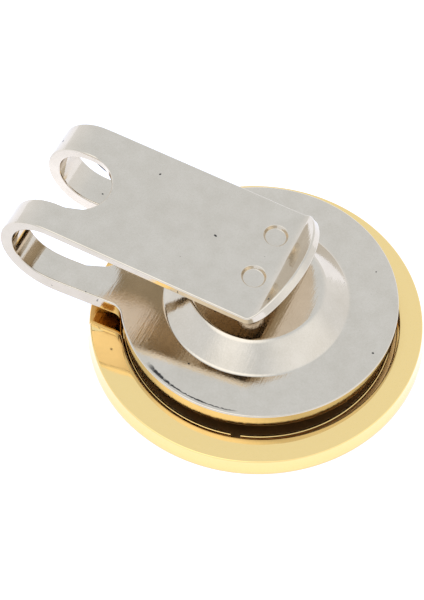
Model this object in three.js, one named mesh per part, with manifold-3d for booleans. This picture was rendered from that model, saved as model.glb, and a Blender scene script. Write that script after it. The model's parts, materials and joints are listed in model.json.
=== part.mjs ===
// Golf hat clip with a magnetic ball marker, lying on the marker's front face.
//
// The clip is one bent sheet: a disc with a raised boss, a neck, two prongs that loop
// over, and a tongue that comes back above the disc. A magnet glued into the boss holds
// the marker: a gold-plated bezel with a steel insert, kept in by a split ring.
//
// Millimetres, +Z up. The origin is the centre of the marker's front face. The neck and
// the loop are on the -X side, and the tongue's tip points along +X.

import * as THREE from 'three';
import { mergeVertices } from 'three/addons/utils/BufferGeometryUtils.js';
import Module from 'manifold-3d';

const wasm = await Module();
wasm.setup();

const { degToRad, lerp } = THREE.MathUtils;
const ROUND_STEPS = 72; // sides of a full circle on the large round parts
const FAR = 40; // longer than the object, for cutting blocks

// Marker bezel
const RIM_FOOT_RADIUS = 15.4;
const RIM_TOP_RADIUS = 15.08;
const RIM_HEIGHT = 1.64;
const RIM_INNER_RADIUS = 12.7;
const RIM_BEVEL = 0.1;
const EDGE_ROUND = 0.15;
const RECESS_RADIUS = RIM_INNER_RADIUS - RIM_BEVEL;
const RECESS_CENTRE_X = 0.35; // the recess sits off the rim's centre, away from the notch
const WINDOW_RADIUS = 11.6;
const WINDOW_DEPTH = 0.35;
const SILL_HEIGHT = 1.1;
const SILL_HALF_WIDTH = 6.9;

// Pieces inside the marker
const INSERT_RADIUS = 12.55;
const INSERT_THICKNESS = 0.5;
const RING_CENTRE_X = 0.15;
const RING_OUTER_RADIUS = 12.38;
const RING_INNER_RADIUS = 12.05;
const RING_THICKNESS = 0.3;
const RING_GAP = 0.85;
const RING_GAP_ANGLE = -75.2;
const STACK_GAP = 0.02;

// Where the magnet has pulled the clip to on the marker, a little off its centre
const CLIP_X = -0.2;
const CLIP_Y = 0.42;

// Clip sheet
const BASE_THICKNESS = 1.58;
const TONGUE_THICKNESS = 0.85;
const DISC_TOP = 4.1;
const DISC_RADIUS = 12.5;
const DISC_CENTRE = { x: 0.2, y: 0.12 }; // the outline is a little off the boss
const DISC_EDGE_ROUND = 0.2;
const BOSS_FOOT_RADIUS = 8.34;
const BOSS_TOP_RADIUS = 5.96;
const BOSS_RISE = 1.95;
const BOSS_THICKNESS = 1.2;
const STRIP_HALF_WIDTH = 6.2;
const STRIP_CENTRE_Y = 0.1;
const NECK_FILLET = 1.5;
const LOOP_CENTRE_X = -17.88;
const LOOP_RADIUS = 3.42; // of the loop's inner face
const LOOP_STEPS = 30;
const TONGUE_SLOPE = 6.2; // degrees down towards the tip
const LIP_START_X = 1.64;
const LIP_BEND_RADIUS = 1.45; // of the tongue's lower face
const LIP_ANGLE = 52;
const LIP_LENGTH = 2.75; // straight part beyond the bend, longer than the trimmed end
const SPLIT_GAP = 0.3; // between the two halves of the sheet, at the loop's crown

// Slot between the prongs, seen from above
const SLOT_HALF_AT_LOOP = 3.15;
const UPPER_SLOT = { end: -14.45, half: 3.0, centreY: -0.15 };
const LOWER_SLOT = { end: -12.4, half: 3.3, centreY: 0.05 };

// Tongue's tip
const TIP_CENTRE_Y = 0.6;
const TIP_END_X = 4.55;
const TIP_RADIUS = 7.9;
const DIMPLE_X = 0.3;
const DIMPLE_SPACING = 4.8;
const DIMPLE_RADIUS = 1.12;
const DIMPLE_DEPTH = 0.35;

// Magnet and its glue
const MAGNET_RADIUS = 5.0;
const MAGNET_THICKNESS = 3.0;
const MAGNET_CHAMFER = 0.25;
const MAGNET_STANDOFF = 0.05;
const GLUE_SHRINK = 0.2;

// Heights and places that follow from the sizes above
const INSERT_BOTTOM = WINDOW_DEPTH;
const INSERT_TOP = INSERT_BOTTOM + INSERT_THICKNESS;
const RING_BOTTOM = INSERT_TOP + STACK_GAP;
const DISC_BOTTOM = DISC_TOP - BASE_THICKNESS;
const BOSS_WALL = 0.75 * BOSS_THICKNESS; // horizontal step between the boss's two cones
const CROWN_Z = DISC_TOP + LOOP_RADIUS;
const MAGNET_BOTTOM = INSERT_TOP + MAGNET_STANDOFF;
const MAGNET_TOP = MAGNET_BOTTOM + MAGNET_THICKNESS;
const SLOPE = degToRad(TONGUE_SLOPE);

// ---- solids ---------------------------------------------------------------------

function toSolid(geometry) {
  const bare = geometry.clone();
  bare.deleteAttribute('normal');
  bare.deleteAttribute('uv');
  const merged = mergeVertices(bare, 1e-4);
  const index = merged.index.array;
  const triangles = [];
  for (let i = 0; i < index.length; i += 3) {
    const [a, b, c] = [index[i], index[i + 1], index[i + 2]];
    if (a !== b && b !== c && c !== a) {
      triangles.push(a, b, c);
    }
  }
  return new wasm.Manifold(new wasm.Mesh({
    numProp: 3,
    vertProperties: new Float32Array(merged.attributes.position.array),
    triVerts: new Uint32Array(triangles),
  }));
}

function toGeometry(solid) {
  const mesh = solid.getMesh();
  const geometry = new THREE.BufferGeometry();
  geometry.setAttribute('position', new THREE.BufferAttribute(mesh.vertProperties, 3));
  geometry.setIndex(new THREE.BufferAttribute(mesh.triVerts, 1));
  geometry.computeVertexNormals();
  return geometry;
}

// A block between two opposite corners.
function block(low, high) {
  const size = high.map((value, axis) => value - low[axis]);
  const geometry = new THREE.BoxGeometry(...size);
  geometry.translate(...high.map((value, axis) => (value + low[axis]) / 2));
  return toSolid(geometry);
}

// A shape drawn in XY, made solid from one height to another.
function prism(shape, bottom, top, curveSegments = 24) {
  const geometry = new THREE.ExtrudeGeometry(shape, {
    depth: top - bottom,
    bevelEnabled: false,
    curveSegments,
  });
  geometry.translate(0, 0, bottom);
  return toSolid(geometry);
}

// A profile of [radius, height] points turned about Z. The points run anticlockwise
// round the section, and the profile is closed or starts and ends on the axis.
function turned(points, steps = ROUND_STEPS) {
  const profile = points.map(([radius, height]) => new THREE.Vector2(radius, height));
  const geometry = new THREE.LatheGeometry(profile, steps);
  geometry.rotateX(Math.PI / 2);
  return toSolid(geometry);
}

// ---- clip sheet -----------------------------------------------------------------

// Walks along the sheet's enclosed face in the side view, like a bending table: the top
// of the neck, the inside of the loop and the tongue's lower face. Each station has a
// point, a heading and the sheet's thickness there.
function bendSheet() {
  const stations = [];
  let x = 0;
  let z = DISC_TOP;
  let heading = Math.PI;
  let thickness = BASE_THICKNESS;
  const mark = () => stations.push({ x, z, heading, thickness });
  const line = (length) => {
    x += length * Math.cos(heading);
    z += length * Math.sin(heading);
    mark();
  };
  const arc = (radius, turn, steps, endThickness) => {
    const startHeading = heading;
    const startThickness = thickness;
    const side = Math.sign(turn);
    const centreX = x - side * radius * Math.sin(heading);
    const centreZ = z + side * radius * Math.cos(heading);
    for (let i = 1; i <= steps; i += 1) {
      heading = startHeading + (turn * i) / steps;
      thickness = lerp(startThickness, endThickness, i / steps);
      x = centreX + side * radius * Math.sin(heading);
      z = centreZ - side * radius * Math.cos(heading);
      mark();
    }
  };
  x = -DISC_RADIUS + 2;
  mark();
  line(x - LOOP_CENTRE_X);
  arc(LOOP_RADIUS, -(Math.PI + SLOPE), LOOP_STEPS, TONGUE_THICKNESS);
  line((LIP_START_X - x) / Math.cos(SLOPE));
  arc(LIP_BEND_RADIUS, degToRad(LIP_ANGLE), 6, TONGUE_THICKNESS);
  line(LIP_LENGTH);
  return stations;
}

// The point of the sheet's other face opposite a station.
function outerPoint({ x, z, heading, thickness }) {
  return new THREE.Vector2(x - thickness * Math.sin(heading), z + thickness * Math.cos(heading));
}

// The bent strip at full width: neck, loop, tongue and lip, with no slot and a square end.
function bentStrip() {
  const stations = bendSheet();
  const outer = stations.map(outerPoint);
  const inner = stations.map(({ x, z }) => new THREE.Vector2(x, z)).reverse();
  const geometry = new THREE.ExtrudeGeometry(new THREE.Shape([...outer, ...inner]), {
    depth: 2 * STRIP_HALF_WIDTH,
    bevelEnabled: false,
  });
  geometry.rotateX(Math.PI / 2);
  geometry.translate(0, STRIP_CENTRE_Y + STRIP_HALF_WIDTH, 0);
  return toSolid(geometry);
}

// The slot's outline from above: open past the loop, with a round end on the sheet.
function slotCutter({ end, half, centreY }, bottom, top) {
  const centreX = end - half;
  const shape = new THREE.Shape();
  shape.moveTo(-FAR, -SLOT_HALF_AT_LOOP);
  shape.lineTo(LOOP_CENTRE_X - LOOP_RADIUS, -SLOT_HALF_AT_LOOP);
  shape.lineTo(centreX, -half);
  shape.absarc(centreX, 0, half, -Math.PI / 2, Math.PI / 2, false);
  shape.lineTo(LOOP_CENTRE_X - LOOP_RADIUS, SLOT_HALF_AT_LOOP);
  shape.lineTo(-FAR, SLOT_HALF_AT_LOOP);
  return prism(shape, bottom, top).translate([0, centreY, 0]);
}

// Disc with its boss pressed up and the pocket under it left hollow.
function pressedDisc() {
  const bossTop = DISC_TOP + BOSS_RISE;
  const pocketTop = bossTop - BOSS_THICKNESS;
  const plate = turned([
    [0, DISC_BOTTOM],
    [DISC_RADIUS - DISC_EDGE_ROUND, DISC_BOTTOM],
    [DISC_RADIUS, DISC_BOTTOM + DISC_EDGE_ROUND],
    [DISC_RADIUS, DISC_TOP - DISC_EDGE_ROUND],
    [DISC_RADIUS - DISC_EDGE_ROUND, DISC_TOP],
    [0, DISC_TOP],
  ]).translate([DISC_CENTRE.x, DISC_CENTRE.y, 0]);
  const boss = turned([
    [0, DISC_BOTTOM],
    [BOSS_FOOT_RADIUS, DISC_BOTTOM],
    [BOSS_FOOT_RADIUS, DISC_TOP],
    [BOSS_TOP_RADIUS, bossTop],
    [0, bossTop],
  ]);
  const pocket = turned([
    [0, 0],
    [BOSS_FOOT_RADIUS - BOSS_WALL, 0],
    [BOSS_FOOT_RADIUS - BOSS_WALL, DISC_BOTTOM],
    [BOSS_TOP_RADIUS - BOSS_WALL, pocketTop],
    [0, pocketTop],
  ]);
  return plate.add(boss).subtract(pocket);
}

// Neck from the disc to the loop, with a concave fillet on each side where it meets
// the disc. A fillet's centre is one fillet off the neck's side and off the disc.
function neck() {
  const reach = DISC_RADIUS + NECK_FILLET;
  const [near, far] = [-1, 1].map((side) => {
    const sideY = STRIP_CENTRE_Y + side * STRIP_HALF_WIDTH;
    const y = sideY + side * NECK_FILLET;
    const away = y - DISC_CENTRE.y;
    const x = DISC_CENTRE.x - Math.sqrt(reach ** 2 - away ** 2);
    return { sideY, x, y, onDisc: Math.atan2(-away, DISC_CENTRE.x - x) };
  });
  const insideX = -0.75 * DISC_RADIUS;
  const shape = new THREE.Shape();
  shape.moveTo(LOOP_CENTRE_X, near.sideY);
  shape.lineTo(near.x, near.sideY);
  shape.absarc(near.x, near.y, NECK_FILLET, Math.PI / 2, near.onDisc, true);
  shape.lineTo(insideX, near.sideY);
  shape.lineTo(insideX, far.sideY);
  shape.absarc(far.x, far.y, NECK_FILLET, far.onDisc, -Math.PI / 2, true);
  shape.lineTo(LOOP_CENTRE_X, far.sideY);
  return prism(shape, DISC_BOTTOM, DISC_TOP, 8);
}

function clipBase() {
  const half = FAR / 2;
  const lowerHalf = block([-half - 10, -half, 0], [0, half, CROWN_Z - SPLIT_GAP / 2]);
  return bentStrip()
    .intersect(lowerHalf)
    .add(neck())
    .subtract(slotCutter(LOWER_SLOT, 0, FAR))
    .add(pressedDisc());
}

// A dimple pressed down: a flat-bottomed hollow on top and the same bump underneath.
function dimple(y) {
  const middle = tongueTop(DIMPLE_X) - DIMPLE_DEPTH;
  const hollow = new THREE.CylinderGeometry(DIMPLE_RADIUS, DIMPLE_RADIUS, 2 * DIMPLE_DEPTH, 32);
  const bumpRadius = DIMPLE_RADIUS - 0.1;
  const bump = new THREE.CylinderGeometry(bumpRadius, bumpRadius, TONGUE_THICKNESS, 32);
  for (const geometry of [hollow, bump]) {
    geometry.rotateX(Math.PI / 2);
  }
  hollow.translate(0, 0, DIMPLE_DEPTH);
  bump.translate(0, 0, -TONGUE_THICKNESS / 2);
  return [hollow, bump].map((geometry) => {
    geometry.rotateY(SLOPE);
    geometry.translate(DIMPLE_X, y, middle);
    return toSolid(geometry);
  });
}

// Height of the tongue's upper face at a distance along X.
function tongueTop(x) {
  const startX = LOOP_CENTRE_X + LOOP_RADIUS * Math.sin(SLOPE);
  const startZ = CROWN_Z + LOOP_RADIUS * Math.cos(SLOPE);
  return startZ + TONGUE_THICKNESS / Math.cos(SLOPE) - (x - startX) * Math.tan(SLOPE);
}

// Plan outline that trims the tongue's end to one shallow arc.
function tipOutline() {
  const centreX = TIP_END_X - TIP_RADIUS;
  const reach = STRIP_HALF_WIDTH + 1;
  const nearAngle = Math.asin((-reach - TIP_CENTRE_Y) / TIP_RADIUS);
  const farAngle = Math.asin((reach - TIP_CENTRE_Y) / TIP_RADIUS);
  const shape = new THREE.Shape();
  shape.moveTo(-FAR, -reach);
  shape.lineTo(centreX, -reach);
  shape.absarc(centreX, TIP_CENTRE_Y, TIP_RADIUS, nearAngle, farAngle, false);
  shape.lineTo(-FAR, reach);
  return shape;
}

function clipTongue() {
  const half = FAR / 2;
  const upperHalf = block([-half - 10, -half, CROWN_Z + SPLIT_GAP / 2], [half, half, half]);
  let tongue = bentStrip()
    .intersect(upperHalf)
    .intersect(prism(tipOutline(), 0, FAR))
    .subtract(slotCutter(UPPER_SLOT, 0, FAR));
  for (const side of [-1, 1]) {
    const [hollow, bump] = dimple(TIP_CENTRE_Y + (side * DIMPLE_SPACING) / 2);
    tongue = tongue.add(bump).subtract(hollow);
  }
  return tongue;
}

// ---- marker ---------------------------------------------------------------------

function markerBezel() {
  const body = turned([
    [WINDOW_RADIUS, 0],
    [RIM_FOOT_RADIUS - EDGE_ROUND, 0],
    [RIM_FOOT_RADIUS, EDGE_ROUND],
    [RIM_TOP_RADIUS + EDGE_ROUND / 3, RIM_HEIGHT - EDGE_ROUND],
    [RIM_TOP_RADIUS - EDGE_ROUND, RIM_HEIGHT],
    [WINDOW_RADIUS, RIM_HEIGHT],
    [WINDOW_RADIUS, 0],
  ]);
  const recess = turned([
    [0, WINDOW_DEPTH],
    [RECESS_RADIUS, WINDOW_DEPTH],
    [RECESS_RADIUS, RIM_HEIGHT - RIM_BEVEL],
    [RIM_INNER_RADIUS + RIM_BEVEL, RIM_HEIGHT + RIM_BEVEL],
    [0, RIM_HEIGHT + RIM_BEVEL],
  ]);
  const notch = block(
    [-FAR, -SILL_HALF_WIDTH, SILL_HEIGHT],
    [-RECESS_RADIUS / 2, SILL_HALF_WIDTH, FAR],
  );
  return body.subtract(recess.translate([RECESS_CENTRE_X, 0, 0])).subtract(notch);
}

function frontInlay() {
  const radius = WINDOW_RADIUS - STACK_GAP;
  const top = WINDOW_DEPTH - STACK_GAP;
  return turned([[0, 0], [radius, 0], [radius, top], [0, top]]);
}

function steelInsert() {
  const radius = INSERT_RADIUS - 2 * STACK_GAP;
  const bottom = INSERT_BOTTOM;
  const chamfer = 0.1;
  const disc = turned([
    [0, bottom],
    [radius, bottom],
    [radius, INSERT_TOP - chamfer],
    [radius - chamfer, INSERT_TOP],
    [0, INSERT_TOP],
  ]);
  return disc.translate([RECESS_CENTRE_X, 0, 0]);
}

function splitRing() {
  const top = RING_BOTTOM + RING_THICKNESS;
  const ring = turned([
    [RING_INNER_RADIUS, RING_BOTTOM],
    [RING_OUTER_RADIUS, RING_BOTTOM],
    [RING_OUTER_RADIUS, top],
    [RING_INNER_RADIUS, top],
    [RING_INNER_RADIUS, RING_BOTTOM],
  ]);
  const gap = block([0, -RING_GAP / 2, 0], [FAR, RING_GAP / 2, FAR]);
  const split = ring.subtract(gap.rotate([0, 0, RING_GAP_ANGLE]));
  return split.translate([RING_CENTRE_X, 0, 0]);
}

// ---- magnet ---------------------------------------------------------------------

function magnetDisc() {
  const chamferRadius = MAGNET_RADIUS - MAGNET_CHAMFER;
  return turned([
    [0, MAGNET_BOTTOM],
    [chamferRadius, MAGNET_BOTTOM],
    [MAGNET_RADIUS, MAGNET_BOTTOM + MAGNET_CHAMFER],
    [MAGNET_RADIUS, MAGNET_TOP - MAGNET_CHAMFER],
    [chamferRadius, MAGNET_TOP],
    [0, MAGNET_TOP],
  ]);
}

// Glue that fills the boss's pocket above and round the magnet.
function magnetGlue() {
  const pocketTop = DISC_TOP + BOSS_RISE - BOSS_THICKNESS - STACK_GAP;
  const footRadius = BOSS_FOOT_RADIUS - BOSS_WALL - 2 * GLUE_SHRINK;
  const topRadius = BOSS_TOP_RADIUS - BOSS_WALL - GLUE_SHRINK / 2;
  const seat = MAGNET_RADIUS + STACK_GAP;
  return turned([
    [0, MAGNET_TOP + STACK_GAP],
    [seat, MAGNET_TOP + STACK_GAP],
    [seat, DISC_BOTTOM + GLUE_SHRINK],
    [footRadius, DISC_BOTTOM + GLUE_SHRINK],
    [topRadius, pocketTop],
    [0, pocketTop],
  ]);
}

// ---- assembly -------------------------------------------------------------------

const MATERIALS = {
  nickel: { color: 0xcdc9c2, roughness: 0.32, metalness: 1 },
  gold: { color: 0xf1d691, roughness: 0.16, metalness: 1 },
  steel: { color: 0x8f8b85, roughness: 0.4, metalness: 1 },
  magnet: { color: 0xb9b8b6, roughness: 0.25, metalness: 1 },
  glue: { color: 0x3a3833, roughness: 0.5, metalness: 0 },
  enamel: { color: 0x1f4a35, roughness: 0.15, metalness: 0 },
};

function piece(name, solid, material) {
  const mesh = new THREE.Mesh(
    toGeometry(solid),
    new THREE.MeshStandardMaterial(MATERIALS[material]),
  );
  mesh.name = name;
  return mesh;
}

function onMarker(solid) {
  return solid.translate([CLIP_X, CLIP_Y, 0]);
}

const marker = new THREE.Group();
marker.add(
  piece('marker_bezel', markerBezel(), 'gold'),
  piece('front_inlay', frontInlay(), 'enamel'),
  piece('steel_insert', steelInsert(), 'steel'),
  piece('split_retaining_ring', splitRing(), 'gold'),
);

const clip = new THREE.Group();
clip.add(
  piece('clip_base', onMarker(clipBase()), 'nickel'),
  piece('clip_tongue', onMarker(clipTongue()), 'nickel'),
  piece('clip_magnet', onMarker(magnetDisc()), 'magnet'),
  piece('magnet_glue', onMarker(magnetGlue()), 'glue'),
);

const hatClipMarker = new THREE.Group();
hatClipMarker.add(marker, clip);

export default hatClipMarker;
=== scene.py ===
"""Golf hat clip with its magnetic ball marker, lying on the marker's front face.

Lengths below are millimetres in the row frame: the origin is the centre of the marker's
front face, +Z is up and +X runs along the tongue. Meshes are scaled to metres at the end.
"""
import json
import math

import bmesh
import bpy
import numpy as np
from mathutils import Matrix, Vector
from mathutils.geometry import delaunay_2d_cdt
from mathutils.kdtree import KDTree


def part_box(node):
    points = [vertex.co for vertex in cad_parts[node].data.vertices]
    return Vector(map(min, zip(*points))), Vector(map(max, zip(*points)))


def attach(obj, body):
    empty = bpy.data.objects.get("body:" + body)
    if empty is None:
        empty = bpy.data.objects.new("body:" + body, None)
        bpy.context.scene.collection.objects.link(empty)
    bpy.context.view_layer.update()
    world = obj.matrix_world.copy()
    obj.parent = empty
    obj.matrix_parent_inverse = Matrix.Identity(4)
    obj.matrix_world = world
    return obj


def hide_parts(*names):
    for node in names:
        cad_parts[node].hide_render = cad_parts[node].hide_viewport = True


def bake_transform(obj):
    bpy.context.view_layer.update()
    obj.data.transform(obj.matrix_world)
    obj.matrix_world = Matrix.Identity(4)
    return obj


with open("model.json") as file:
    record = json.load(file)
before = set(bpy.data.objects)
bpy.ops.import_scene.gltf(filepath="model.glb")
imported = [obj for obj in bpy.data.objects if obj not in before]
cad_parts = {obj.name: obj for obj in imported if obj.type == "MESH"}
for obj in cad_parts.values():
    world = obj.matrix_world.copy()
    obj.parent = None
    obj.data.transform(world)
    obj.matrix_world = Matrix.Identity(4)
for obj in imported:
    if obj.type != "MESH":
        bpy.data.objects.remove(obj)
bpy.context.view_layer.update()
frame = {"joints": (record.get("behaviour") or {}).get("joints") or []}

MM = 0.001
TAU = 2 * math.pi


def box_mm(node):
    """Low and high corners of a node's box, in millimetres."""
    low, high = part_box(node)
    return low / MM, high / MM


# ---- sizes ------------------------------------------------------------------------

RIM_HIGH = box_mm("marker_bezel")[1]
BASE_LOW = box_mm("clip_base")[0]
TONGUE_LOW, TONGUE_HIGH = box_mm("clip_tongue")
INSERT_LOW, INSERT_HIGH = box_mm("steel_insert")
INLAY_LOW, INLAY_HIGH = box_mm("front_inlay")
RING_LOW, RING_HIGH = box_mm("split_retaining_ring")
MAGNET_LOW, MAGNET_HIGH = box_mm("clip_magnet")
GLUE_LOW, GLUE_HIGH = box_mm("magnet_glue")
CLIP_X = (MAGNET_LOW.x + MAGNET_HIGH.x) / 2
CLIP_Y = (MAGNET_LOW.y + MAGNET_HIGH.y) / 2
FLEX = next(joint for joint in frame["joints"] if joint["name"] == "tongue_flex")

# Marker
RIM_FOOT = RIM_HIGH.x
RIM_TOP = 15.08
RIM_HEIGHT = RIM_HIGH.z
RECESS = 12.6
RECESS_X = (INSERT_LOW.x + INSERT_HIGH.x) / 2
WINDOW = 11.6
WINDOW_DEPTH = INSERT_LOW.z
CHAMFER = 0.08
RIM_TOP_ROUND = 0.14
RIM_FOOT_ROUND = 0.2
SILL_HEIGHT = 1.1
SILL_HALF = 6.9
NOTCH_WALL = 0.015
RING_X = (RING_LOW.x + RING_HIGH.x) / 2
RING_OUTER = (RING_HIGH.x - RING_LOW.x) / 2 - 0.06
RING_INNER = 11.97
RING_EDGE = 0.145
RING_GAP = 0.85
RING_GAP_ANGLE = math.radians(-75.2)

# Clip sheet
DISC_CENTRE = (0.2, 0.12)
DISC_RADIUS = 12.5
STRIP_NEAR = TONGUE_LOW.y - CLIP_Y
STRIP_FAR = TONGUE_HIGH.y - CLIP_Y
BASE_THICK = 1.58
TONGUE_THICK = 0.85
DISC_TOP = BASE_LOW.z + BASE_THICK
BOSS_FOOT = 8.34
BOSS_TOP = 5.96
BOSS_RISE = 1.95
BOSS_WALL = 0.9
BOSS_SHEET = 1.2
FOOT_ROUND = 0.14
TOP_ROUND = 0.24
NECK_FILLET = 1.5
LOOP_X = -17.88
SLOPE = math.radians(6.2)
LIP_ANGLE = math.radians(52)
LIP_BEND = 1.9
LIP_START_X = 1.42
LIP_END = 2.42
LOOP_EASE_IN = 1.4
LOOP_EASE_OUT = 0.8
LIP_EASE = 0.3
LOWER_FLARE = 0.4
EDGE_ROUND = 0.16
EDGE_STEPS = 5

# Slot between the prongs and the shapes at the tongue's tip
SLOT_LOWER_X = -12.4
SLOT_LOWER_Y = 0.05
SLOT_LOWER_HALF = 3.3
SLOT_UPPER_X = -14.45
SLOT_UPPER_Y = -0.15
SLOT_UPPER_HALF = 3.0
TIP_MIDDLE = 0.6
TIP_RADIUS = 7.6
TIP_CORNER = 1.3
DIMPLE_X = 0.3
DIMPLE_SPACING = 4.8
DIMPLE_RADIUS = 1.12
DIMPLE_DEPTH = 0.33
DIMPLE_WALL = 0.2
DIMPLE_TAPER = 0.08

# The sheet's enclosed face, as lengths along it from the disc's centre
CROWN_Z = FLEX["pos_m"][2] / MM
LOOP_RADIUS = CROWN_Z - DISC_TOP
LOOP_BEND = LOOP_RADIUS - (LOOP_EASE_IN**2 + LOOP_EASE_OUT**2) / 12 / LOOP_RADIUS
LOOP_TURN = math.pi + SLOPE
LOOP_START = -LOOP_X
LOOP_END = LOOP_START + LOOP_BEND * LOOP_TURN
LOOP_CROWN = (LOOP_START + LOOP_END) / 2


# ---- mesh helpers -----------------------------------------------------------------


def soft_ramp(x, half):
    """0 below, x above, with a parabola between -half and half."""
    x = np.asarray(x, float)
    return np.where(x < -half, 0.0, np.where(x > half, x, (x + half) ** 2 / (4 * half)))


def smooth_step(x):
    """0 at 0 and 1 at 1, level at both ends."""
    t = np.clip(x, 0.0, 1.0)
    return t * t * (3 - 2 * t)


def smooth_min(a, b, width):
    """The smaller of two values, with a rounded crossing this wide."""
    h = np.clip(0.5 + 0.5 * (b - a) / width, 0.0, 1.0)
    return b + (a - b) * h - width * h * (1 - h)


def loop_turn(length):
    """Angle the sheet has turned through round the loop, easing in and out of the bend."""
    bent = soft_ramp(length - LOOP_START, LOOP_EASE_IN) - soft_ramp(length - LOOP_END, LOOP_EASE_OUT)
    return bent / LOOP_BEND


def walk(turn):
    """X and Z along the sheet for the turn at each of LENGTHS, starting flat on the disc."""
    middle = (turn[1:] + turn[:-1]) / 2
    x = np.concatenate([[0], np.cumsum(np.cos(middle))]) * -PATH_STEP - LENGTHS[0]
    z = np.concatenate([[0], np.cumsum(np.sin(middle))]) * PATH_STEP + DISC_TOP
    return x, z


PATH_STEP = 0.01
LENGTHS = np.arange(-14, 62, PATH_STEP)
LOOP_PATH = walk(loop_turn(LENGTHS))
PAST_LOOP = 3  # far enough past the bend for the sheet to be straight
STRAIGHT_X = float(np.interp(LOOP_END + PAST_LOOP, LENGTHS, LOOP_PATH[0]))
LOOP_END_X = STRAIGHT_X - PAST_LOOP * math.cos(SLOPE)


def along_tongue(x):
    """Length along the sheet of a point of the straight tongue at this X."""
    return LOOP_END + (x - LOOP_END_X) / math.cos(SLOPE)


LIP_START = along_tongue(LIP_START_X)
LIP_STRAIGHT = LIP_START + LIP_BEND * LIP_ANGLE
TIP_LENGTH = LIP_STRAIGHT + LIP_END


def sheet_turn(length):
    """The loop's turn, less the turn back at the lip."""
    bent = soft_ramp(length - LIP_START, LIP_EASE) - soft_ramp(length - LIP_STRAIGHT, LIP_EASE)
    return loop_turn(length) - bent / LIP_BEND


SHEET_PATH = walk(sheet_turn(LENGTHS))


def make_object(name, vertices, faces, material, sharp=35.0, normals=None):
    """A shaded mesh object from points in millimetres.

    Shading follows the given normals where there are any, else the faces' own.
    """
    mesh = bpy.data.meshes.new(name)
    mesh.from_pydata([tuple(v) for v in np.asarray(vertices, float)], [], faces)
    bm = bmesh.new()
    bm.from_mesh(mesh)
    bmesh.ops.remove_doubles(bm, verts=bm.verts, dist=1e-4)
    bmesh.ops.dissolve_degenerate(bm, edges=bm.edges, dist=1e-5)
    bmesh.ops.recalc_face_normals(bm, faces=bm.faces)
    bmesh.ops.scale(bm, vec=Vector((MM, MM, MM)), verts=bm.verts)
    bm.to_mesh(mesh)
    bm.free()
    mesh.shade_smooth()
    obj = bpy.data.objects.new(name, mesh)
    bpy.context.scene.collection.objects.link(obj)
    obj.data.materials.append(material)
    if normals is not None:
        tree = KDTree(len(vertices))
        for i, point in enumerate(vertices):
            tree.insert(Vector(point) * MM, i)
        tree.balance()
        nearest = [tree.find(vertex.co)[1] for vertex in mesh.vertices]
        mesh.normals_split_custom_set_from_vertices([tuple(normals[i]) for i in nearest])
        return obj
    mesh.set_sharp_from_angle(angle=math.radians(sharp))
    weighted = obj.modifiers.new("weighted_normals", "WEIGHTED_NORMAL")
    weighted.keep_sharp = True
    weighted.weight = 90
    return obj


def rounded(corners, radius, steps=4):
    """A closed outline with every corner turned into an arc of this radius."""
    out = []
    count = len(corners)
    for i in range(count):
        before, here, after = (np.array(corners[(i + k) % count], float) for k in (-1, 0, 1))
        back = (before - here) / np.linalg.norm(before - here)
        ahead = (after - here) / np.linalg.norm(after - here)
        half = math.acos(float(np.clip(back @ ahead, -1, 1))) / 2
        reach = radius / math.tan(half)
        centre = here + (back + ahead) / np.linalg.norm(back + ahead) * radius / math.sin(half)
        first = here + back * reach - centre
        last = here + ahead * reach - centre
        for k in range(steps + 1):
            ray = first * (1 - k / steps) + last * k / steps
            out.append(tuple(centre + ray / np.linalg.norm(ray) * radius))
    return out


def turned(name, profile, material, centre, steps=192):
    """A solid of revolution about this X and Y. The profile's ends are on the axis."""
    vertices = []
    for r, z in profile:
        for k in range(steps):
            angle = TAU * k / steps
            x, y = centre[0] + r * math.cos(angle), centre[1] + r * math.sin(angle)
            vertices.append((x, y, z))
    faces = []
    for i in range(len(profile) - 1):
        for k in range(steps):
            a = i * steps + k
            b = i * steps + (k + 1) % steps
            faces.append((a, b, b + steps, a + steps))
    return make_object(name, vertices, faces, material)


def turned_disc(name, low, high, edge, material):
    """A disc filling this box, with a small round on both edges and support rings."""
    radius = (high.x - low.x) / 2
    bottom, top = low.z, high.z
    corners = [(0, bottom), (radius, bottom), (radius, top), (0, top)]
    outline = rounded(corners, edge)
    at_edge = [point for point in outline if point[0] > radius / 2]
    inner = radius - 2 * edge
    profile = [(0, bottom), (inner, bottom), *at_edge, (inner, top), (0, top)]
    return turned(name, profile, material, ((low.x + high.x) / 2, (low.y + high.y) / 2))


# ---- clip sheet -------------------------------------------------------------------


def thickness_at(length):
    """Thick on the disc and thinner on the tongue, changing round the loop."""
    share = np.clip((length - LOOP_START) / (LOOP_END - LOOP_START), 0, 1)
    return BASE_THICK + (TONGUE_THICK - BASE_THICK) * share


def bend(flat, normals):
    """Carries points (s, y, w) of the flat blank, and their normals, onto the bent sheet.

    s is X on the disc and goes on, more and more negative, round the loop and along the
    tongue. w is the height above the face that the loop encloses, towards its inside.
    """
    y, w = flat[:, 1], flat[:, 2]
    length = -flat[:, 0]
    x, z = (np.interp(length, LENGTHS, values) for values in SHEET_PATH)
    turn = sheet_turn(length)
    along = np.stack([np.cos(turn), -np.sin(turn)], 1)
    inward = np.stack([np.sin(turn), np.cos(turn)], 1)
    points = np.stack([x + inward[:, 0] * w, y, z + inward[:, 1] * w], 1)
    side_view = along * normals[:, :1] + inward * normals[:, 2:]
    return points, np.stack([side_view[:, 0], normals[:, 1], side_view[:, 1]], 1)


def arc_points(centre, radius, start, end, spacing=0.3):
    steps = max(3, int(abs(end - start) * radius / spacing))
    angles = [start + (end - start) * k / steps for k in range(steps + 1)]
    return [(centre[0] + radius * math.cos(a), centre[1] + radius * math.sin(a)) for a in angles]


def line_points(start, end, spacing=0.3):
    steps = max(1, int(math.dist(start, end) / spacing))
    return [
        (start[0] + (end[0] - start[0]) * k / steps, start[1] + (end[1] - start[1]) * k / steps)
        for k in range(1, steps)
    ]


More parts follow.
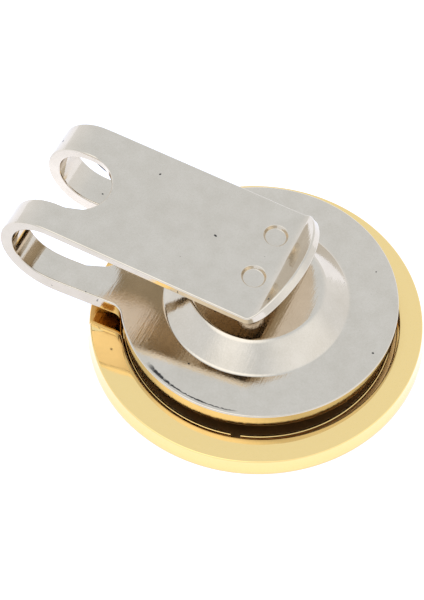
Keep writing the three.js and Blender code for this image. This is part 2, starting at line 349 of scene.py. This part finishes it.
def neck_fillet(side_y, side):
    """Centre of the fillet between a side of the neck and the disc."""
    y = side_y + side * NECK_FILLET
    reach = DISC_RADIUS + NECK_FILLET
    return DISC_CENTRE[0] - math.sqrt(reach**2 - (y - DISC_CENTRE[1]) ** 2), y


def tip_fillet(side_y, side, tip):
    """Centre of the fillet between a side of the tongue and the tip's arc."""
    y = side_y - side * TIP_CORNER
    reach = TIP_RADIUS - TIP_CORNER
    return tip[0] - math.sqrt(reach**2 - (y - tip[1]) ** 2), y


def heading(start, end):
    return math.atan2(end[1] - start[1], end[0] - start[0])


def blank_outline():
    """The flat blank's outer edge, anticlockwise as seen from the enclosed side."""
    quarter = math.pi / 2
    neck_near = neck_fillet(STRIP_NEAR, -1)
    neck_far = neck_fillet(STRIP_FAR + LOWER_FLARE, 1)
    tip = (-TIP_LENGTH + TIP_RADIUS, TIP_MIDDLE)
    tip_near = tip_fillet(STRIP_NEAR, -1, tip)
    tip_far = tip_fillet(STRIP_FAR, 1, tip)
    from_disc = heading(DISC_CENTRE, neck_near), heading(DISC_CENTRE, neck_far)
    to_near = heading(tip, tip_near) + TAU
    points = arc_points(DISC_CENTRE, DISC_RADIUS, *from_disc)
    far_start = from_disc[1] - math.pi
    points += arc_points(neck_far, NECK_FILLET, far_start, -quarter, 0.15)[1:]
    points += line_points(points[-1], (-LOOP_CROWN, STRIP_FAR))
    points += line_points(points[-1], (tip_far[0], STRIP_FAR))
    points += arc_points(tip_far, TIP_CORNER, quarter, heading(tip, tip_far), 0.15)
    points += arc_points(tip, TIP_RADIUS, heading(tip, tip_far), to_near)[1:-1]
    points += arc_points(tip_near, TIP_CORNER, to_near, 3 * quarter, 0.15)
    points += line_points(points[-1], (neck_near[0], STRIP_NEAR))
    near_end = from_disc[0] + math.pi
    points += arc_points(neck_near, NECK_FILLET, quarter, near_end, 0.15)[:-1]
    return np.array(points)


def slot_outline():
    """The slot's edge, clockwise, so that its normal also points out of the sheet."""
    lower = (SLOT_LOWER_X - SLOT_LOWER_HALF, SLOT_LOWER_Y)
    upper = (-along_tongue(SLOT_UPPER_X) + SLOT_UPPER_HALF, SLOT_UPPER_Y)
    quarter = math.pi / 2
    points = arc_points(lower, SLOT_LOWER_HALF, quarter, -quarter, 0.25)
    points += line_points(points[-1], (upper[0], SLOT_UPPER_Y - SLOT_UPPER_HALF))
    points += arc_points(upper, SLOT_UPPER_HALF, -quarter, -3 * quarter, 0.25)
    points += line_points(points[-1], (lower[0], SLOT_LOWER_Y + SLOT_LOWER_HALF))
    return np.array(points)


def outward_normals(loop):
    """Miter normals of a closed loop whose material lies on its left."""
    before = loop - np.roll(loop, 1, 0)
    after = np.roll(loop, -1, 0) - loop
    before /= np.linalg.norm(before, axis=1)[:, None]
    after /= np.linalg.norm(after, axis=1)[:, None]
    mean = np.stack([before[:, 1] + after[:, 1], -before[:, 0] - after[:, 0]], 1)
    mean /= np.linalg.norm(mean, axis=1)[:, None]
    first = np.stack([before[:, 1], -before[:, 0]], 1)
    return mean / np.sum(mean * first, axis=1)[:, None]


def boss_height(radius, shift, rise):
    """How far the sheet is pressed up at a distance from the disc's centre."""
    foot = BOSS_FOOT - shift
    top = BOSS_TOP - shift
    slope = rise / (foot - top)
    return slope * (soft_ramp(foot - radius, FOOT_ROUND) - soft_ramp(top - radius, TOP_ROUND))


def dimple_press(s, y, radius):
    """Share of the dimple's depth at a point of the flat tongue."""
    press = np.zeros_like(s)
    for side in (-1, 1):
        centre_y = TIP_MIDDLE + side * DIMPLE_SPACING / 2
        distance = np.hypot(s + along_tongue(DIMPLE_X), y - centre_y)
        down = soft_ramp(radius - distance, 0.04) - soft_ramp(radius - DIMPLE_WALL - distance, 0.04)
        press = np.maximum(press, down / DIMPLE_WALL)
    return press


def face_height(s, y, side):
    """Height of one face of the pressed blank: 1 is the enclosed face, -1 the outer one."""
    radius = np.hypot(s, y)
    on_disc = -s < LOOP_START
    on_tongue = -s > LOOP_END
    if side > 0:
        height = np.where(on_disc, boss_height(radius, 0, BOSS_RISE), 0)
        dimple = DIMPLE_RADIUS - DIMPLE_TAPER
    else:
        pocket = BOSS_RISE + BASE_THICK - BOSS_SHEET
        height = np.where(on_disc, boss_height(radius, BOSS_WALL, pocket), 0)
        height = height - thickness_at(-s)
        dimple = DIMPLE_RADIUS
    return height + np.where(on_tongue, DIMPLE_DEPTH * dimple_press(s, y, dimple), 0)


def face_normals(s, y, side):
    """Unit normals of one face of the flat blank, from small differences in height."""
    step = 0.004
    slope_s = (face_height(s + step, y, side) - face_height(s - step, y, side)) / (2 * step)
    slope_y = (face_height(s, y + step, side) - face_height(s, y - step, side)) / (2 * step)
    normals = np.stack([-slope_s, -slope_y, np.ones_like(s)], 1) * side
    return normals / np.linalg.norm(normals, axis=1)[:, None]


def in_slot(s, y, margin):
    """Whether points lie in the slot, or within a margin round it."""
    lower_s = SLOT_LOWER_X - SLOT_LOWER_HALF
    upper_s = -along_tongue(SLOT_UPPER_X) + SLOT_UPPER_HALF
    share = np.clip((lower_s - s) / (lower_s - upper_s), 0, 1)
    half = SLOT_LOWER_HALF + (SLOT_UPPER_HALF - SLOT_LOWER_HALF) * share
    near_s = lower_s + (upper_s - lower_s) * share
    near_y = SLOT_LOWER_Y + (SLOT_UPPER_Y - SLOT_LOWER_Y) * share
    return np.hypot(s - near_s, y - near_y) < half + margin


def in_blank(s, y, margin):
    """Whether points lie on the blank, at least a margin in from its edge."""
    tip_s = -TIP_LENGTH + TIP_RADIUS
    on_disc = np.hypot(s - DISC_CENTRE[0], y - DISC_CENTRE[1]) < DISC_RADIUS - margin
    on_strip = (y > STRIP_NEAR + margin) & (y < STRIP_FAR - margin) & (s < 0)
    on_strip &= (np.hypot(s - tip_s, y - TIP_MIDDLE) < TIP_RADIUS - margin) | (s > tip_s)
    return (on_disc | on_strip) & ~in_slot(s, y, margin)


def ring_points(centre, radii, steps):
    return [
        (centre[0] + r * math.cos(TAU * k / steps), centre[1] + r * math.sin(TAU * k / steps))
        for r in radii
        for k in range(steps)
    ]


def face_points(side):
    """Inner points of one face: rings on the disc and the dimples, rows on the strip."""
    shift = 0 if side > 0 else BOSS_WALL
    foot = BOSS_FOOT - shift
    top = BOSS_TOP - shift
    fine = [k / 3 for k in range(-4, 5)]
    radii = [foot + FOOT_ROUND * k for k in fine] + [top + TOP_ROUND * k for k in fine]
    radii += list(np.linspace(top + 0.7, foot - 0.6, 3))
    radii += list(np.linspace(foot + 0.6, 10.9, 5))
    points = ring_points((0, 0), radii, 170)
    points += [(0.0, 0.0)] + ring_points((0, 0), [0.6, 1.2, 1.8], 24)
    points += ring_points((0, 0), list(np.linspace(2.4, top - 0.7, 5)), 64)
    points += ring_points(DISC_CENTRE, [11.35, 11.7, 12.0], 200)

    row = DISC_RADIUS + 0.3
    while row < TIP_LENGTH - 0.3:
        across = np.linspace(STRIP_NEAR, STRIP_FAR, 27)[1:-1]
        points += [(-row, y) for y in across]
        bending = LOOP_START < row < LOOP_END or LIP_START - 0.2 < row < LIP_STRAIGHT + 0.2
        row += (0.1 if row > LIP_START - 0.2 else 0.22) if bending else 0.5

    radius = DIMPLE_RADIUS if side < 0 else DIMPLE_RADIUS - DIMPLE_TAPER
    walls = [0.3, 0.04, 0.02, 0, -0.02, -0.04, -DIMPLE_WALL / 2]
    walls += [-DIMPLE_WALL + d for d in (0.04, 0.02, 0, -0.02, -0.04, -0.3)]
    centres = [
        (-along_tongue(DIMPLE_X), TIP_MIDDLE + k * DIMPLE_SPACING / 2) for k in (-1, 1)
    ]
    kept = [p for p in points if all(math.dist(p, c) > radius + 0.5 for c in centres)]
    for centre in centres:
        kept += [centre] + ring_points(centre, [radius + d for d in walls], 48)
    kept = np.array(kept)
    return kept[in_blank(kept[:, 0], kept[:, 1], EDGE_ROUND + 0.2)]


def face_mesh(side, loops, normals):
    """Triangles of one face, between the inset edges, as flat points and index triples."""
    points = []
    edges = []
    for loop, normal in zip(loops, normals):
        start = len(points)
        points += [tuple(p) for p in loop - normal * EDGE_ROUND]
        count = len(loop)
        edges += [(start + k, start + (k + 1) % count) for k in range(count)]
    points += [tuple(p) for p in face_points(side)]
    found, _, triangles, *_ = delaunay_2d_cdt([Vector(p) for p in points], edges, [], 1, 1e-5)
    flat = np.array([(p.x, p.y) for p in found])
    kept = []
    for triangle in triangles:
        middle = flat[list(triangle)].mean(0)
        if not in_slot(middle[:1], middle[1:], -0.02)[0]:
            kept.append(tuple(triangle) if side > 0 else tuple(reversed(triangle)))
    return flat, kept


def edge_ring(loop, normal, side, turn):
    """One line of the rounded edge, from the face (turn 0) to the middle of the wall."""
    flat = loop - normal * EDGE_ROUND * (1 - math.sin(turn))
    height = face_height(flat[:, 0], flat[:, 1], side)
    height = height - side * EDGE_ROUND * (1 - math.cos(turn))
    out = normal / np.linalg.norm(normal, axis=1)[:, None] * math.sin(turn)
    up = np.full(len(loop), side * math.cos(turn))
    return bend(np.column_stack([flat, height]), np.column_stack([out, up]))


def clip_sheet(material):
    """The whole clip as one seamless sheet: blank, pressed shapes, then the bends."""
    loops = [blank_outline(), slot_outline()]
    loop_normals = [outward_normals(loop) for loop in loops]
    blocks = []
    faces = []

    def add(block, new_faces):
        start = sum(len(points) for points, _ in blocks)
        blocks.append(block)
        faces.extend(tuple(i + start for i in face) for face in new_faces)

    for side in (1, -1):
        flat, triangles = face_mesh(side, loops, loop_normals)
        s, y = flat[:, 0], flat[:, 1]
        height = face_height(s, y, side)
        add(bend(np.column_stack([flat, height]), face_normals(s, y, side)), triangles)

    quarter_turns = [k / EDGE_STEPS * math.pi / 2 for k in range(EDGE_STEPS + 1)]
    for loop, normal in zip(loops, loop_normals):
        rings = [edge_ring(loop, normal, 1, turn) for turn in quarter_turns]
        rings += [edge_ring(loop, normal, -1, turn) for turn in reversed(quarter_turns)]
        count = len(loop)
        quads = []
        for i in range(len(rings) - 1):
            for k in range(count):
                ahead = (k + 1) % count
                a, b = i * count + k, i * count + ahead
                quads.append((a, a + count, b + count, b))
        add(tuple(np.concatenate(part) for part in zip(*rings)), quads)
    vertices = np.concatenate([points for points, _ in blocks]) + (CLIP_X, CLIP_Y, 0)
    normals = np.concatenate([directions for _, directions in blocks])
    return make_object("clip_sheet", vertices, faces, material, normals=normals)


# ---- marker -----------------------------------------------------------------------


def bezel_columns():
    """Angles from the -X axis, at the reference radius, where the section is placed."""
    reference = (RIM_TOP + RECESS) / 2
    across = [0, 1.5, 3, 4.5, 5.6, 6.3, 6.7, SILL_HALF - 0.04, SILL_HALF]
    across += [SILL_HALF + NOTCH_WALL + CHAMFER * k / 8 for k in range(12)]
    across += [SILL_HALF + d for d in (0.75, 0.95, 1.2, 1.6)]
    angles = [math.asin(y / reference) for y in across]
    step = TAU / 300
    start = angles[-1]
    count = int((math.pi - start) / step)
    angles += [start + (math.pi - start) * k / count for k in range(1, count + 1)]
    return reference, angles + [-a for a in reversed(angles[1:-1])]


def column_angle(angle, radius, reference):
    """Near the notch a column keeps its Y; round the rest of the rim it is radial."""
    side = math.copysign(1, angle)
    angle = abs(angle)
    hold = 1 - float(smooth_step((angle - math.radians(34)) / math.radians(26)))
    wanted = math.asin(min(1.0, reference * math.sin(min(angle, math.pi / 2)) / radius))
    return side * (angle + hold * (wanted - angle))


def rim_height(radius, y):
    """Height of the bezel's back at a point: flat rim, chamfer, or the notch's sill."""
    inward = radius - RECESS
    beside = abs(y) - SILL_HALF
    sill = SILL_HEIGHT - max(0.0, 0.1 - inward)
    if beside < 0:
        return sill
    edge = float(smooth_min(inward, beside, 0.3))
    rise = CHAMFER - soft_ramp(CHAMFER - max(edge, -0.1), 0.05)
    wall = RIM_HEIGHT - CHAMFER + float(rise)
    climb = float(smooth_step(beside / NOTCH_WALL))
    return sill + (wall - sill) * climb


def bezel(material):
    """The gold rim as one grid of sections round Z, notched for the clip's neck."""
    reference, columns = bezel_columns()
    chamfer_radii = [RECESS + CHAMFER * k / 8 for k in range(12)]
    top_radii = chamfer_radii + list(np.linspace(RECESS + 0.4, RIM_TOP - 0.2, 9))
    lean = (RIM_FOOT - RIM_TOP) / RIM_HEIGHT
    vertices = []
    for column in columns:
        section = []
        y_reference = reference * math.sin(column)
        y_here = y_reference if abs(column) < math.pi / 3 else RIM_FOOT
        for radius in top_radii:
            centred = smooth_step((radius - RECESS - 0.3) / (RIM_TOP - RECESS - 0.6))
            section.append((radius, rim_height(radius, y_here), RECESS_X * (1 - centred)))
        shoulder = section[-1][1]
        outer = RIM_TOP + lean * (RIM_HEIGHT - shoulder)
        for k in range(6):
            turn = k / 5 * math.pi / 2
            r = outer - RIM_TOP_ROUND * (1 - math.sin(turn))
            section.append((r, shoulder - RIM_TOP_ROUND * (1 - math.cos(turn)), 0))
        section.append((RIM_FOOT - lean * 0.5, 0.5, 0))
        for k in range(6):
            turn = k / 5 * math.pi / 2
            r = RIM_FOOT - RIM_FOOT_ROUND * (1 - math.cos(turn))
            section.append((r, RIM_FOOT_ROUND * (1 - math.sin(turn)), 0))
        section += [(14.0, 0, 0), (WINDOW + 0.2, 0, 0), (WINDOW + 0.05, 0.02, 0)]
        section += [(WINDOW, 0.08, 0), (WINDOW, WINDOW_DEPTH, 0), (RECESS, WINDOW_DEPTH, RECESS_X)]
        for radius, z, shift in section:
            angle = math.pi - column_angle(column, radius, reference)
            vertices.append((shift + radius * math.cos(angle), radius * math.sin(angle), z))
        rows = len(section)
    faces = []
    total = len(columns)
    for c in range(total):
        after = (c + 1) % total
        for i in range(rows):
            up = (i + 1) % rows
            faces.append((c * rows + i, after * rows + i, after * rows + up, c * rows + up))
    return make_object("gold_bezel", vertices, faces, material, 32)


def retaining_ring(material):
    """A thin split ring with rounded edges and square ends, lying in the recess."""
    low, high = RING_LOW.z, RING_HIGH.z
    corners = [(RING_INNER, low), (RING_OUTER, low), (RING_OUTER, high), (RING_INNER, high)]
    section = rounded(corners, RING_EDGE, 5)
    half_gap = RING_GAP / (RING_INNER + RING_OUTER)
    steps = 240
    vertices = []
    for k in range(steps + 1):
        share = k / steps
        angle = RING_GAP_ANGLE + half_gap + (TAU - 2 * half_gap) * share
        for r, z in section:
            vertices.append((RING_X + r * math.cos(angle), r * math.sin(angle), z))
    count = len(section)
    faces = [tuple(range(count)), tuple(range(steps * count, (steps + 1) * count))]
    for k in range(steps):
        for i in range(count):
            up = (i + 1) % count
            a, b = k * count, (k + 1) * count
            faces.append((a + i, b + i, b + up, a + up))
    return make_object("retaining_ring", vertices, faces, material)


# ---- materials --------------------------------------------------------------------


def feed(tree, value, socket):
    """Links an output to a socket, or sets the socket to a plain value."""
    if hasattr(value, "links"):
        tree.links.new(value, socket)
    else:
        socket.default_value = value


def add_node(tree, kind, inputs=None, **settings):
    node = tree.nodes.new(kind)
    for key, value in settings.items():
        setattr(node, key, value)
    for key, value in (inputs or {}).items():
        feed(tree, value, node.inputs[key])
    return node


class Nodes:
    """Small helper for building one node material."""

    def __init__(self, name):
        self.material = bpy.data.materials.new(name)
        self.material.use_nodes = True
        self.tree = self.material.node_tree
        self.shader = self.tree.nodes["Principled BSDF"]

    def add(self, kind, inputs=None, **settings):
        return add_node(self.tree, kind, inputs, **settings)

    def set(self, **inputs):
        for key, value in inputs.items():
            feed(self.tree, value, self.shader.inputs[key.replace("_", " ")])

    def position(self):
        """Position on the part in millimetres."""
        coordinates = self.add("ShaderNodeTexCoord").outputs["Object"]
        scale = {"Scale": (1 / MM, 1 / MM, 1 / MM)}
        return self.add("ShaderNodeMapping", {"Vector": coordinates, **scale}).outputs[0]

    def noise(self, vector, scale, detail=3.0, stretch=(1, 1, 1), roughness=0.5):
        moved = self.add("ShaderNodeMapping", {"Vector": vector, "Scale": stretch}).outputs[0]
        inputs = {"Vector": moved, "Scale": scale, "Detail": detail, "Roughness": roughness}
        return self.add("ShaderNodeTexNoise", inputs).outputs[0]

    def remap(self, value, low, high, to_low, to_high):
        inputs = {"Value": value, "From Min": low, "From Max": high}
        inputs.update({"To Min": to_low, "To Max": to_high})
        return self.add("ShaderNodeMapRange", inputs).outputs[0]

    def math(self, operation, a, b=0):
        node = self.add("ShaderNodeMath", {0: a, 1: b}, operation=operation)
        return node.outputs[0]

    def mix(self, factor, a, b):
        inputs = {0: factor, 6: a, 7: b}
        return self.add("ShaderNodeMix", inputs, data_type="RGBA").outputs[2]

    def bump(self, height, strength, distance_mm, normal=None):
        inputs = {"Height": height, "Strength": strength, "Distance": distance_mm * MM}
        if normal is not None:
            inputs["Normal"] = normal
        return self.add("ShaderNodeBump", inputs).outputs[0]


# Radius of the painted dark reflection line on the disc's top face.
DARK_REFLECTION_RADIUS = 12.1


def dark_reflection_mark(n, place):
    """Mask of a painted dark reflection line close to the disc's near edge, rough at one end."""
    axes = n.add("ShaderNodeSeparateXYZ", {0: place})
    x = n.math("SUBTRACT", axes.outputs["X"], CLIP_X + DISC_CENTRE[0])
    y = n.math("SUBTRACT", axes.outputs["Y"], CLIP_Y + DISC_CENTRE[1])
    radius = n.math("SQRT", n.math("ADD", n.math("MULTIPLY", x, x), n.math("MULTIPLY", y, y)))
    angle = n.math("ARCTAN2", y, x)
    ragged = n.noise(place, 3.2, 3.0)
    wide = n.remap(angle, -2.05, -1.7, 0.22, 0.07)
    wander = n.remap(ragged, 0.3, 0.7, -0.05, 0.05)
    off = n.math("ABSOLUTE", n.math("SUBTRACT", n.math("ADD", radius, wander), DARK_REFLECTION_RADIUS))
    line = n.remap(n.math("DIVIDE", off, wide), 0.5, 1.0, 1.0, 0.0)
    start = n.remap(angle, -2.1, -2.02, 0.0, 1.0)
    end = n.remap(angle, -1.4, -1.3, 1.0, 0.0)
    broken = n.remap(ragged, 0.3, 0.48, 0.45, 1.0)
    return n.math("MULTIPLY", n.math("MULTIPLY", line, broken), n.math("MULTIPLY", start, end))


def nickel_plate():
    """Brushed nickel: scratches across the sheet, fine grain, a few pits, painted warm shade in
    corners and a painted dark reflection line near the disc's edge.
    """
    n = Nodes("nickel_plate")
    place = n.position()
    grain = n.noise(place, 6.0, 5.0)
    cloud = n.noise(place, 0.6, 4.0)
    scratches = n.noise(place, 1.0, 3.0, (4.6, 0.35, 1.0), 0.6)
    # Painted shade: where ambient occlusion is low, in corners and under the tongue, the nickel is
    # mixed towards a warm brown.
    open_sky = n.add("ShaderNodeAmbientOcclusion", {"Distance": 5.5 * MM}, samples=6)
    painted_shade = n.remap(open_sky.outputs["AO"], 0.1, 0.6, 0.0, 1.0)
    tone = n.math("ADD", n.math("MULTIPLY", cloud, 0.6), n.math("MULTIPLY", grain, 0.4))
    clean = n.mix(
        n.remap(tone, 0.35, 0.65, 0, 1), (0.625, 0.54, 0.42, 1), (0.69, 0.60, 0.475, 1)
    )
    # Warm brown painted shade laid over the clean nickel colour.
    colour = n.mix(painted_shade, (0.64, 0.51, 0.36, 1), clean)
    pits = n.remap(n.noise(place, 1.7, 0.0), 0.13, 0.155, 1.0, 0.0)
    # Real pits, plus the painted dark reflection line near the disc's edge.
    dark = n.math("MAXIMUM", pits, dark_reflection_mark(n, place))
    bumps = n.bump(scratches, 0.6, 0.014)
    bumps = n.bump(grain, 0.3, 0.008, bumps)
    n.set(
        Base_Color=n.mix(dark, colour, (0.05, 0.045, 0.04, 1)),
        Metallic=1.0,
        Roughness=n.remap(grain, 0.3, 0.7, 0.06, 0.12),
        Normal=bumps,
    )
    return n.material


def gold_plate():
    """Polished gold plate under lacquer, with painted brown shade in crevices but not on the front
    face.
    """
    n = Nodes("gold_plate")
    place = n.position()
    wave = n.noise(place, 0.6, 1.0)
    haze = n.noise(place, 3.0, 3.0)
    # Painted shade: where ambient occlusion is low, as on the sill and in the recess, the gold is
    # mixed towards brown.
    open_sky = n.add("ShaderNodeAmbientOcclusion", {"Distance": 3.5 * MM}, samples=6)
    painted_shade = n.remap(open_sky.outputs["AO"], 0.22, 0.6, 0.0, 1.0)
    facing = n.add("ShaderNodeNewGeometry", {}).outputs["Normal"]
    facing = n.add("ShaderNodeSeparateXYZ", {0: facing}).outputs["Z"]
    front = n.remap(facing, -0.99, -0.9, 1.0, 0.0)
    painted_shade = n.math("MAXIMUM", painted_shade, front)
    clean = n.mix(haze, (0.95, 0.655, 0.225, 1), (0.97, 0.675, 0.25, 1))
    n.set(
        # Brown painted shade laid over the clean gold colour.
        Base_Color=n.mix(painted_shade, (0.56, 0.30, 0.05, 1), clean),
        Metallic=1.0,
        Roughness=n.remap(haze, 0.3, 0.7, 0.03, 0.08),
        Coat_Weight=1.0,
        Coat_Roughness=0.04,
        Normal=n.bump(wave, 0.15, 0.05),
    )
    return n.material


def insert_steel():
    """The recess floor: thinly plated steel, dull and warm."""
    n = Nodes("insert_steel")
    place = n.position()
    grain = n.noise(place, 5.0, 4.0)
    colour = n.mix(grain, (0.62, 0.36, 0.13, 1), (0.80, 0.50, 0.20, 1))
    n.set(Base_Color=colour, Metallic=1.0, Roughness=0.3, Normal=n.bump(grain, 0.2, 0.02))
    return n.material


def magnet_plate():
    """Dull nickel on the magnet."""
    n = Nodes("magnet_plate")
    place = n.position()
    grain = n.noise(place, 6.0, 3.0)
    colour = n.mix(grain, (0.52, 0.52, 0.52, 1), (0.60, 0.60, 0.59, 1))
    n.set(Base_Color=colour, Metallic=1.0, Roughness=0.22, Normal=n.bump(grain, 0.1, 0.01))
    return n.material


def glue():
    """Dark cured epoxy with a lumpy surface."""
    n = Nodes("glue")
    place = n.position()
    lumps = n.noise(place, 1.2, 3.0)
    colour = n.mix(lumps, (0.02, 0.019, 0.017, 1), (0.05, 0.047, 0.042, 1))
    n.set(Base_Color=colour, Roughness=0.4, Normal=n.bump(lumps, 0.4, 0.1))
    return n.material


def enamel():
    """Plain dark green enamel under a clear coat."""
    n = Nodes("enamel")
    place = n.position()
    cloud = n.noise(place, 0.8, 3.0)
    colour = n.mix(cloud, (0.008, 0.05, 0.025, 1), (0.012, 0.07, 0.036, 1))
    n.set(
        Base_Color=colour,
        Roughness=0.12,
        Coat_Weight=0.6,
        Coat_Roughness=0.04,
        Normal=n.bump(n.noise(place, 0.5, 1.0), 0.1, 0.05),
    )
    return n.material


# ---- object -----------------------------------------------------------------------

gold = gold_plate()


def place_piece(obj, body, slot, *nodes):
    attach(obj, body)
    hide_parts(*nodes)


def build_marker():
    place_piece(bezel(gold), "marker", "gold_plate", "marker_bezel")
    place_piece(retaining_ring(gold), "marker", "gold_plate", "split_retaining_ring")
    insert = turned_disc("insert_disc", INSERT_LOW, INSERT_HIGH, 0.08, insert_steel())
    place_piece(insert, "marker", "insert_steel", "steel_insert")
    inlay = turned_disc("enamel_inlay", INLAY_LOW, INLAY_HIGH, 0.04, enamel())
    place_piece(inlay, "marker", "inlay", "front_inlay")


def build_clip():
    sheet = clip_sheet(nickel_plate())
    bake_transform(sheet)
    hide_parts("clip_base", "clip_tongue")

    magnet = turned_disc("magnet", MAGNET_LOW, MAGNET_HIGH, 0.25, magnet_plate())
    place_piece(magnet, "clip", "magnet_plate", "clip_magnet")

    gap = 0.02
    seat = MAGNET_HIGH.x - CLIP_X + gap
    roof = MAGNET_HIGH.z + gap
    foot = GLUE_HIGH.x - CLIP_X
    corners = [(seat, roof), (seat, GLUE_LOW.z)]
    corners += [(foot, GLUE_LOW.z), (BOSS_TOP - 1.0, GLUE_HIGH.z)]
    profile = [(0, roof), *rounded(corners, 0.08, 3), (0, GLUE_HIGH.z)]
    filling = turned("glue_fill", profile, glue(), (CLIP_X, CLIP_Y))
    place_piece(filling, "clip", "glue", "magnet_glue")


# ---- stage ------------------------------------------------------------------------

# Way to each soft box, its reach in degrees and the light it adds
SOFT_BOXES = (
    ((-0.145, -0.397, 0.906), 34, 0.7),
    ((0.78, -0.08, 0.62), 42, 0.22),
)
SOFT_BOX_CORE = 6
FLOOR_DROP = 0.02
FLOOR_HALF_M = 3.0
# Centre of the painted pool of light on the floor, under the loops.
LIGHT_POOL_AT = (-22, 4)


def build_floor():
    """A pale floor just below the marker's front face, clear when seen from below.

    It glows, and a little more in a painted pool of light under the loops.
    """
    mesh = bpy.data.meshes.new("floor")
    size = FLOOR_HALF_M
    low = -FLOOR_DROP * MM
    corners = [(-size, -size, low), (size, -size, low), (size, size, low), (-size, size, low)]
    mesh.from_pydata(corners, [], [(0, 1, 2, 3)])
    floor = bpy.data.objects.new("floor", mesh)
    bpy.context.scene.collection.objects.link(floor)
    n = Nodes("floor_white")
    n.set(Base_Color=(0.5, 0.5, 0.5, 1), Roughness=0.9, Specular_IOR_Level=0.1)
    from_loops = {0: n.position(), 1: (-LIGHT_POOL_AT[0], -LIGHT_POOL_AT[1], 0)}
    reach = n.add("ShaderNodeVectorMath", from_loops, operation="ADD").outputs[0]
    reach = n.add("ShaderNodeVectorMath", {0: reach}, operation="LENGTH").outputs["Value"]
    # Painted light: the floor's glow is stronger within 4 to 10 mm of the pool's centre.
    pool = n.remap(reach, 4.0, 10.0, 1.3, 0.86)
    n.set(Emission_Color=(0.80, 0.86, 1.06, 1), Emission_Strength=pool)
    from_below = n.add("ShaderNodeNewGeometry", {}).outputs["Backfacing"]
    n.set(Alpha=n.remap(from_below, 0.0, 1.0, 1.0, 0.0))
    mesh.materials.append(n.material)


def build_world():
    """A white tent: bright low down, cooler overhead, with its soft boxes."""
    world = bpy.data.worlds.new("tent")
    bpy.context.scene.world = world
    world.use_nodes = True
    tree = world.node_tree

    way = add_node(tree, "ShaderNodeTexCoord").outputs["Generated"]
    height = add_node(tree, "ShaderNodeSeparateXYZ", {0: way}).outputs["Z"]
    ramp = add_node(tree, "ShaderNodeValToRGB", {0: height})
    ramp.color_ramp.elements[0].position = 0.0
    ramp.color_ramp.elements[0].color = (1.02, 1.10, 1.26, 1)
    ramp.color_ramp.elements[1].position = 0.9
    ramp.color_ramp.elements[1].color = (0.86, 0.965, 1.14, 1)
    total = ramp.outputs["Color"]
    for centre, reach, strength in SOFT_BOXES:
        pair = {0: way, 1: centre}
        towards = add_node(tree, "ShaderNodeVectorMath", pair, operation="DOT_PRODUCT")
        inside = {"Value": towards.outputs["Value"], "From Min": math.cos(math.radians(reach))}
        inside["From Max"] = math.cos(math.radians(SOFT_BOX_CORE))
        inside.update({"To Min": 0.0, "To Max": strength})
        glow = add_node(tree, "ShaderNodeMapRange", inside, interpolation_type="SMOOTHSTEP")
        lit = {0: 1.0, 6: total, 7: glow.outputs[0]}
        total = add_node(tree, "ShaderNodeMix", lit, data_type="RGBA", blend_type="ADD").outputs[2]
    tree.links.new(total, tree.nodes["Background"].inputs["Color"])


def build_light():
    """The lamp of the soft box, for the shading of the matt floor and glue."""
    data = bpy.data.lights.new("soft_box", "AREA")
    data.size = 0.5
    data.energy = 0.3
    lamp = bpy.data.objects.new("soft_box", data)
    lamp.location = Vector(SOFT_BOXES[0][0]) * 0.7
    lamp.rotation_euler = lamp.location.to_track_quat("Z", "Y").to_euler()
    lamp.visible_glossy = False
    bpy.context.scene.collection.objects.link(lamp)


def build_camera():
    """Looks down at the clip from its near side, with a long lens."""
    azimuth = math.radians(24.73)
    elevation = math.radians(55.75)
    distance = 150.0
    aim = Vector((-4.47, 0.11, 1.34))
    away = Vector((math.sin(azimuth), -math.cos(azimuth), math.tan(elevation))).normalized()
    data = bpy.data.cameras.new("camera")
    data.sensor_fit = "VERTICAL"
    data.sensor_height = 36.0
    data.lens = 98.32
    data.clip_start = 0.005
    data.clip_end = 20
    camera = bpy.data.objects.new("camera", data)
    camera.location = (aim + away * distance) * MM
    camera.rotation_euler = (-away).to_track_quat("-Z", "Y").to_euler()
    bpy.context.scene.collection.objects.link(camera)
    bpy.context.scene.camera = camera


build_marker()
build_clip()
build_floor()
build_world()
build_light()
build_camera()
bpy.context.scene.view_settings.view_transform = "Standard"

bpy.context.view_layer.update()
